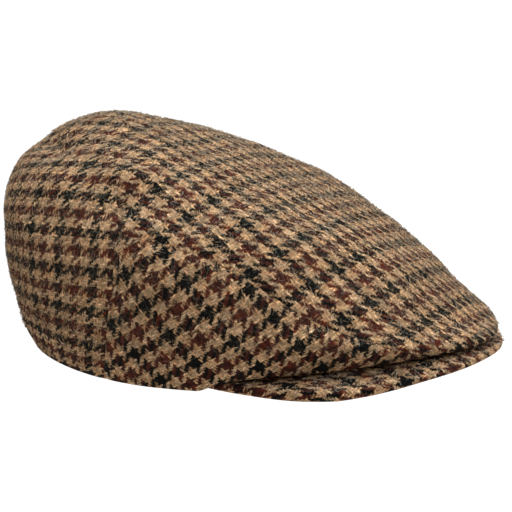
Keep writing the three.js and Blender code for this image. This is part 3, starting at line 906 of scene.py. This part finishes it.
def makeFuzz(name, kind, p, uv):
    # each hair is a sliver of four points: its root, its tip and two sides at mid length, lifted into an arch;
    # it has the colour of a thread near its root
    hair = fuzz[kind]
    corners = cornersOf(p).reshape(-1, 4, 3)
    way = np.cross(corners[:, 2] - corners[:, 0], corners[:, 3] - corners[:, 1])
    area = np.linalg.norm(way, axis=1) / 2
    count = int(area.sum() * hair["perSquareMm"])
    cell = rng.choice(len(area), count, p=area / area.sum())
    s, t = rng.random((2, count, 1))
    c = corners[cell]
    root = (c[:, 0] * (1 - s) + c[:, 3] * s) * (1 - t) + (c[:, 1] * (1 - s) + c[:, 2] * s) * t
    thread = uv.reshape(-1, 4, 2)[cell, 0] + rng.normal(0, fuzz["stray"], (count, 2))
    up = way[cell] / (2 * area[cell, None])
    up = up * np.where((up * (root - np.array(fuzz["inside"]))).sum(1, keepdims=True) > 0, 1, -1)
    lean = rng.normal(size=(count, 3))
    along = lean - up * (lean * up).sum(1, keepdims=True)
    along = along / np.linalg.norm(along, axis=1, keepdims=True)
    across = np.cross(up, along)
    sizes = ("length", "width", "lift", "tip")
    length, width, lift, tipLift = [rng.uniform(*hair[k], (count, 1)) for k in sizes]
    rise = lift * tipLift
    tip = root + along * length + up * rise
    middle = rng.uniform(*fuzz["middle"], (count, 1))
    mid = root + along * length * middle + up * np.maximum(lift, fuzz["bend"] * rise)
    hairs = np.stack([root, tip, mid - across * width / 2, mid + across * width / 2], 1)
    lowest = fuzz["lowest"].get(name, fuzz["lowest"]["other"])
    clear = (hairs[..., 2].min(1) > 0) & (up[:, 2] > lowest)      # none under the floor or hanging
    count = int(clear.sum())
    one = np.array([[0, 2, 3], [1, 3, 2], [0, 1, 2], [1, 0, 3]])
    faces = (one[None] + 4 * np.arange(count)[:, None, None]).reshape(-1, 3)
    verts = hairs[clear].reshape(-1, 3)
    maps = np.repeat(thread[clear], one.size, axis=0).reshape(-1, 3, 2)
    piece = putMesh(name + "_" + kind, verts, faces, maps, clothMaterial)
    # painted highlight: the hairs are painted paler as a power of how far up they face, where the light from
    # above falls
    low, high = hair["paintedSheenRange"]
    paintedSheenLevel = low + (high - low) * np.clip(up[clear, 2], 0, 1) ** fuzz["paintedSheenFall"]
    paintedSheen = piece.data.attributes.new("paintedSheen", "FLOAT", "POINT")
    paintedSheen.data.foreach_set("value", np.repeat(paintedSheenLevel * rng.random(count), 4).astype(np.float32))
    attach(piece, "root")
    print(piece.name, len(faces), "triangles")


for kind in ("hairs", "nap"):
    makeFuzz("top_panel", kind, topOuter, topMap)
    makeFuzz("side_panel_right", kind, rightOuter, rightMap)
    makeFuzz("side_panel_left", kind, leftOuter, leftMap)
    makeFuzz("peak", kind, peakOuter, peakMap)
print("fuzz raised")

# floor, light and camera
studio = {
    "floor": "#5f5e5c",
    "floorRoughness": 0.9,
    "floorGlow": 1.05,       # lit from below, so that shadows stay faint
    "floorSize": 30.0,       # metres
    "floorDrop": 0.0004,
    # light from above and a little in front: base + strength x (cosine of the angle to its middle)^fall
    "middle": (0.12, -0.18, 0.976),
    "base": 0.12,
    "strength": 11.4,
    "fall": 7.0,
    "tint": "#f3f8fc",
}


def makeStudio():
    # a square floor just under the cap, and a sky that gives all the light
    half = studio["floorSize"] / 2
    square = ((-1, -1), (1, -1), (1, 1), (-1, 1))
    corners = [(x * half, y * half, -studio["floorDrop"]) for x, y in square]
    mesh = bpy.data.meshes.new("floor")
    mesh.from_pydata(corners, [], [(0, 1, 2, 3)])
    floor = bpy.data.objects.new("floor", mesh)
    bpy.context.scene.collection.objects.link(floor)
    # smooth matt paper that is lit through, so it is an even white
    paper = bpy.data.materials.new("white backdrop paper")
    paper.use_nodes = True
    shader = paper.node_tree.nodes["Principled BSDF"]
    shader.inputs["Base Color"].default_value = linear(studio["floor"])
    shader.inputs["Roughness"].default_value = studio["floorRoughness"]
    shader.inputs["Emission Color"].default_value = (1, 1, 1, 1)
    shader.inputs["Emission Strength"].default_value = studio["floorGlow"]
    mesh.materials.append(paper)
    world = bpy.data.worlds.new("studio")
    world.use_nodes = True
    tree = world.node_tree
    way = addNode(tree, "ShaderNodeTexCoord").outputs["Generated"]
    cosine = addNode(tree, "ShaderNodeVectorMath", {0: way, 1: studio["middle"]},
                     operation="DOT_PRODUCT").outputs[1]
    cosine = addNode(tree, "ShaderNodeMath", {0: cosine, 1: 0.0}, operation="MAXIMUM").outputs[0]
    fall = addNode(tree, "ShaderNodeMath", {0: cosine, 1: studio["fall"]}, operation="POWER").outputs[0]
    light = addNode(tree, "ShaderNodeMath", {0: fall, 1: studio["strength"], 2: studio["base"]},
                    operation="MULTIPLY_ADD")
    background = tree.nodes["Background"]
    background.inputs["Color"].default_value = linear(studio["tint"])
    tree.links.new(light.outputs[0], background.inputs["Strength"])
    bpy.context.scene.world = world
    bpy.context.scene.view_settings.view_transform = "Standard"


camera = {
    "azimuth": -69.3,
    "elevation": 11.84,
    "distance": 718.65,
    "target": (0, -1, 50),
    "focal": 1393,           # in pixels of a picture 512 wide
    "centre": (251.45, 246.55),
    "picture": 512,
    "sensor": 36,
    "clip": (0.01, 100),     # metres
}


def makeCamera():
    # lens = focal length in pixels x sensor / picture; the shift puts the target at the centre named above
    data = bpy.data.cameras.new("camera")
    data.sensor_width = camera["sensor"]
    data.lens = camera["focal"] / camera["picture"] * camera["sensor"]
    middle = camera["picture"] / 2
    data.shift_x = (middle - camera["centre"][0]) / camera["picture"]
    data.shift_y = (camera["centre"][1] - middle) / camera["picture"]
    data.clip_start, data.clip_end = camera["clip"]
    eye = bpy.data.objects.new("camera", data)
    turn = math.radians(camera["azimuth"])
    rise = math.radians(camera["elevation"])
    out = np.array([math.sin(turn) * math.cos(rise), -math.cos(turn) * math.cos(rise), math.sin(rise)])
    eye.location = (np.array(camera["target"]) + camera["distance"] * out) * mm
    eye.rotation_euler = (math.pi / 2 - rise, 0, turn)
    bpy.context.scene.collection.objects.link(eye)
    bpy.context.scene.camera = eye


makeStudio()
makeCamera()
print("studio set")
